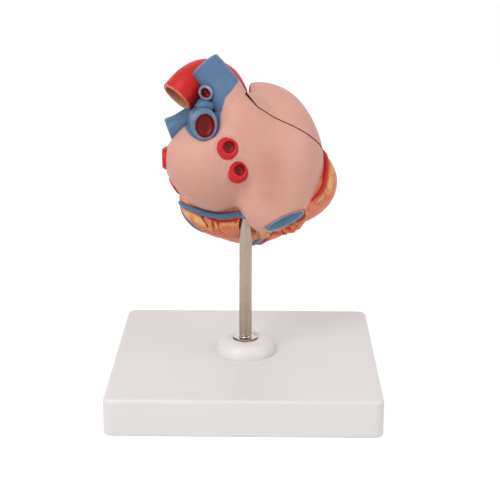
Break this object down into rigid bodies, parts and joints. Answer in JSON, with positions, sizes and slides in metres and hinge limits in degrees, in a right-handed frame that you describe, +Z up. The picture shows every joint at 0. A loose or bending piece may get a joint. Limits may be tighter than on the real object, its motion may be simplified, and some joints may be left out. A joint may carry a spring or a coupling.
{
  "type": "human heart anatomy model",
  "caption": "Two-part human heart teaching model that turns on and lifts off a steel rod in a square moulded stand; the front wall pulls off to show the chambers.",
  "frame": {"origin": "centre of the base's underside, at table level", "axes": "+Z up along the rod; the heart's back (posterior) faces -Y and its front wall faces +Y; the heart's own left side faces -X"},
  "size_m": [0.125, 0.125, 0.1618],
  "materials": {
    "base_plastic": "white moulded ABS, smooth satin gloss",
    "rod_steel": "nickel-plated steel rod, satin",
    "nut_steel": "bright plated hexagon nuts and washer",
    "foot_rubber": "soft black rubber",
    "sleeve_plastic": "turned acetal, natural white",
    "atrium_pink": "hand-painted PVC, pale flesh pink, eggshell",
    "muscle_paint": "hand-painted PVC, streaked orange-brown muscle",
    "chamber_paint": "hand-painted PVC, reddish flesh inside the chambers",
    "artery_red": "hand-painted PVC, blood red, eggshell",
    "vein_blue": "hand-painted PVC, slate blue, eggshell",
    "fat_ochre": "hand-painted PVC, yellow-orange fat",
    "valve_cream": "hand-painted PVC, pale cream",
    "pin_brass": "turned brass locating pins"
  },
  "bodies": {
    "stand": {"base_shell": "base_plastic", "rubber_feet": "foot_rubber", "rod_collar": "base_plastic", "support_rod": "rod_steel", "collar_nut": "nut_steel", "base_washer": "nut_steel", "base_nut": "nut_steel"},
    "turning_sleeve": {"rod_sleeve": "sleeve_plastic"},
    "heart_back": {"aorta_arch": "artery_red", "aortic_valve": "valve_cream", "atrial_septum": "chamber_paint", "azygos_stub": "vein_blue", "circumflex_artery": "artery_red", "coronary_sinus": "vein_blue", "descending_back_artery": "artery_red", "fat_by_rod": "fat_ochre", "fat_left_groove": "fat_ochre", "fat_right_groove": "fat_ochre", "fat_under_cava": "fat_ochre", "left_atrium": "atrium_pink", "left_auricle": "atrium_pink", "left_lower_lung_vein": "artery_red", "left_lung_artery": "vein_blue", "left_marginal_vein": "vein_blue", "left_upper_lung_vein": "artery_red", "left_ventricle_back": "muscle_paint", "lower_cava_lining": "vein_blue", "middle_cardiac_vein": "vein_blue", "mitral_valve": "valve_cream", "papillary_muscles": "chamber_paint", "pulmonary_trunk": "vein_blue", "pulmonary_valve": "valve_cream", "right_atrium": "atrium_pink", "right_coronary_artery": "artery_red", "right_lower_lung_vein": "artery_red", "right_lung_artery": "vein_blue", "right_upper_lung_vein": "artery_red", "right_ventricle_back": "muscle_paint", "rod_socket": "sleeve_plastic", "septum_back": "chamber_paint", "tricuspid_valve_back": "valve_cream", "upper_cava": "vein_blue", "valve_cords": "valve_cream"},
    "heart_front": {"right_auricle": "atrium_pink", "left_ventricle_front": "muscle_paint", "right_ventricle_front": "muscle_paint", "septum_front": "chamber_paint", "locating_pins": "pin_brass", "tricuspid_valve_front": "valve_cream", "right_coronary_artery_front": "artery_red", "fat_right_groove_front": "fat_ochre", "front_descending_artery": "artery_red", "great_cardiac_vein": "vein_blue", "fat_front_groove": "fat_ochre"}
  },
  "joints": [
    {"name": "lift_off_rod", "type": "slide", "parent": "stand", "child": "turning_sleeve", "axis": [0, 0, 1], "range_m": [0, 0.03]},
    {"name": "turn_on_rod", "type": "hinge", "parent": "turning_sleeve", "child": "heart_back", "pos_m": [0, 0, 0.1], "axis": [0, 0, 1], "continuous": true},
    {"name": "pull_front_off", "type": "slide", "parent": "heart_back", "child": "heart_front", "axis": [0.1998, 0.9592, 0.1998], "range_m": [0, 0.06]}
  ]
}
